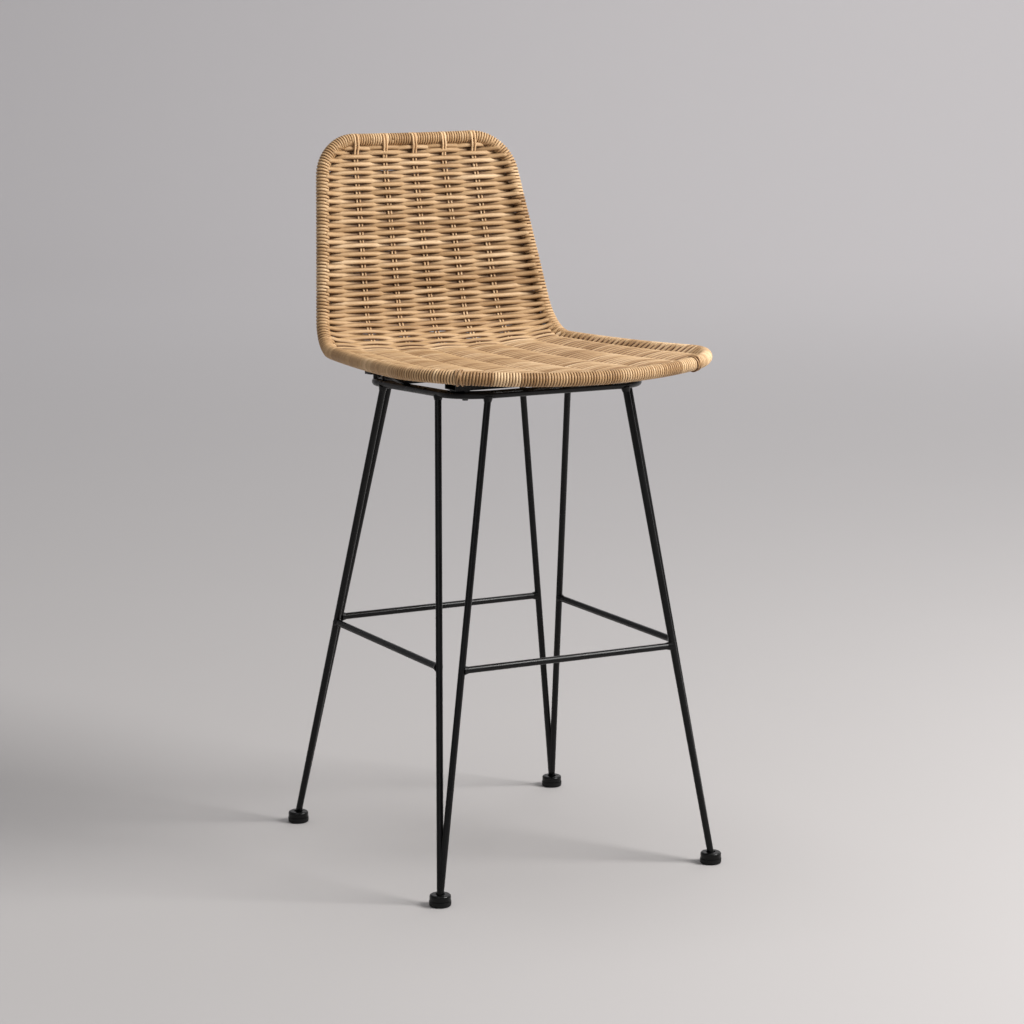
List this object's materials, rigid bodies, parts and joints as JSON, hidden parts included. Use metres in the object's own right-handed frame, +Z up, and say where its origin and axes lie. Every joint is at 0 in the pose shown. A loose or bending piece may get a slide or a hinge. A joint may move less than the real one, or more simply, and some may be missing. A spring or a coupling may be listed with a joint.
{
  "type": "bar stool",
  "caption": "Bar stool with a low curved back: a woven rattan shell on a slender black rod frame with V-shaped legs and a low footrest.",
  "frame": {"origin": "middle of the footprint on the floor", "axes": "+Z up, -Y towards the front of the seat, +X to the right seen from the front"},
  "size_m": [0.5078, 0.6215, 1.071],
  "materials": {
    "black_steel": "black powder coat, satin",
    "screw_steel": "black zinc plated",
    "glide_plastic": "moulded black plastic",
    "rattan_weave": "woven rattan cane, natural, matt",
    "rattan_peel": "wrapped rattan peel, natural, slight sheen",
    "rattan_core": "rattan core strands, natural",
    "rattan_pole": "bent rattan pole"
  },
  "bodies": {
    "root": {"back_weave": "rattan_weave", "back_wrap": "rattan_peel", "centre_strap": "black_steel", "crease_weave": "rattan_weave", "foot_disc_front_left": "black_steel", "foot_disc_front_right": "black_steel", "foot_disc_rear_left": "black_steel", "foot_disc_rear_right": "black_steel", "foot_glide_front_left": "glide_plastic", "foot_glide_front_right": "glide_plastic", "foot_glide_rear_left": "glide_plastic", "foot_glide_rear_right": "glide_plastic", "front_footrest": "black_steel", "front_seat_tube": "black_steel", "front_wrap": "rattan_peel", "left_stretcher": "black_steel", "leg_front_left_rail_rod": "black_steel", "leg_front_left_side_rod": "black_steel", "leg_front_right_rail_rod": "black_steel", "leg_front_right_side_rod": "black_steel", "leg_rear_left_rail_rod": "black_steel", "leg_rear_left_side_rod": "black_steel", "leg_rear_right_rail_rod": "black_steel", "leg_rear_right_side_rod": "black_steel", "rear_seat_tube": "black_steel", "rear_stretcher": "black_steel", "right_stretcher": "black_steel", "rim_pole": "rattan_pole", "ring_posts": "black_steel", "ring_tabs": "black_steel", "ring_welds": "black_steel", "seat_ring": "black_steel", "seat_screws": "screw_steel", "seat_weave": "rattan_weave", "stake_pair_inner_left": "rattan_core", "stake_pair_inner_right": "rattan_core", "stake_pair_middle": "rattan_core", "stake_pair_outer_left": "rattan_core", "stake_pair_outer_right": "rattan_core", "stake_pair_seat_left": "rattan_core", "stake_pair_seat_right": "rattan_core", "stretcher_welds": "black_steel", "wrap_knots": "rattan_peel"}
  },
  "joints": []
}
